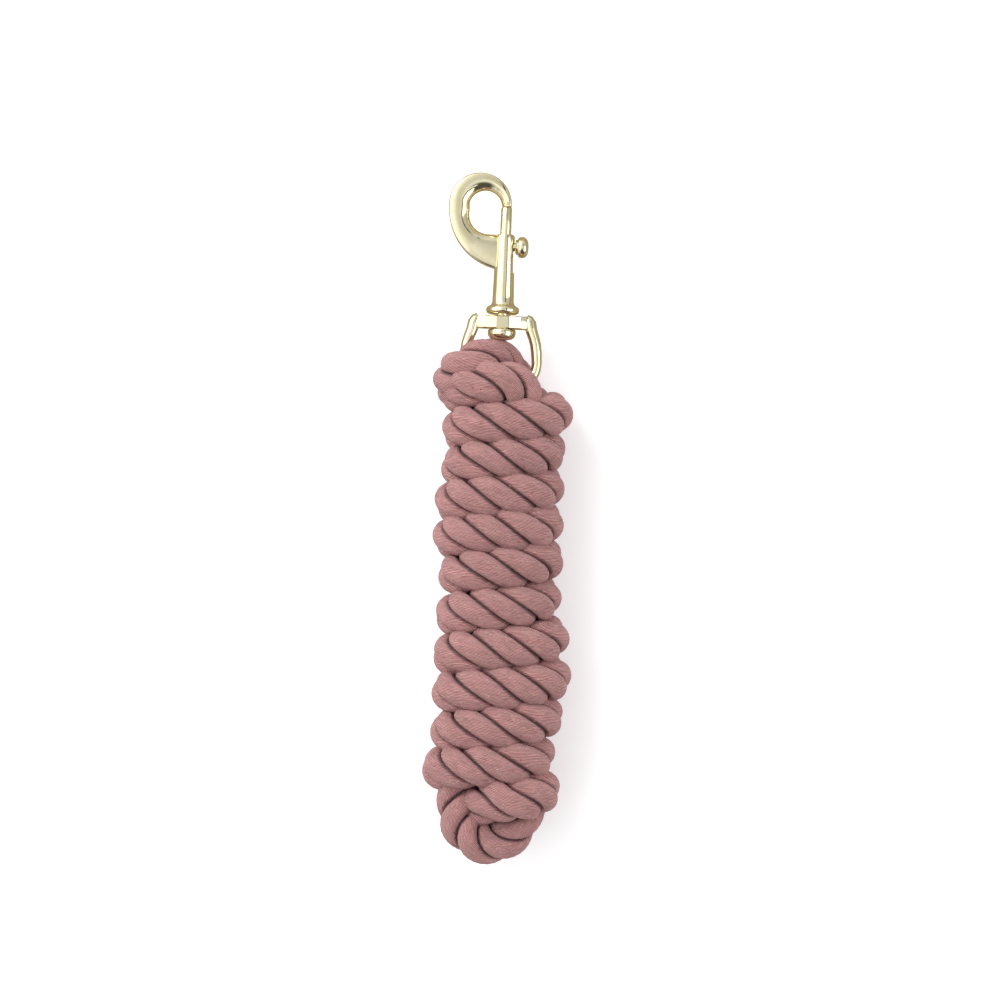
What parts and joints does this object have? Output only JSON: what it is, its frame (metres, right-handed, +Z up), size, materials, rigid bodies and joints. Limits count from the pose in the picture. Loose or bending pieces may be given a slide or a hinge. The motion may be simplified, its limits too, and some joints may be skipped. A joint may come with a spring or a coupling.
{
  "type": "lead rope",
  "caption": "Laid cotton lead rope wound into a hank. Its top end holds the D-shaped eye of a swivelling bolt snap, and its tail is whipped.",
  "frame": {"origin": "under the middle of the whole object, on the surface it lies on", "axes": "+Z up from the surface, +Y along the hank towards the snap, +X across the hank on the thumb stud's side"},
  "size_m": [0.0745, 0.3573, 0.062],
  "materials": {
    "rope": "soft laid cotton, dusty pink",
    "whipping": "waxed cotton twine",
    "snap_metal": "polished pale gold plating",
    "spring_steel": "drawn wire"
  },
  "bodies": {
    "rope": {"rope_hank": "rope", "rope_eye_bight": "rope", "rope_end_bight": "rope", "rope_tail": "rope", "tail_whipping": "whipping", "swivel_eye": "snap_metal"},
    "snap": {"hook_body": "snap_metal", "swivel_rivet": "snap_metal", "bolt_spring": "spring_steel"},
    "bolt": {"bolt": "snap_metal", "thumb_stud": "snap_metal"}
  },
  "joints": [
    {"name": "snap_swivel", "type": "hinge", "parent": "rope", "child": "snap", "pos_m": [-0.0045, 0.1055, 0.031], "axis": [0, 1, 0], "continuous": true},
    {"name": "bolt_slide", "type": "slide", "parent": "snap", "child": "bolt", "axis": [0, -1, 0], "range_m": [0, 0.011], "stiffness_N_per_m": 600, "springref_m": -0.006, "deforming": ["bolt_spring"]}
  ]
}
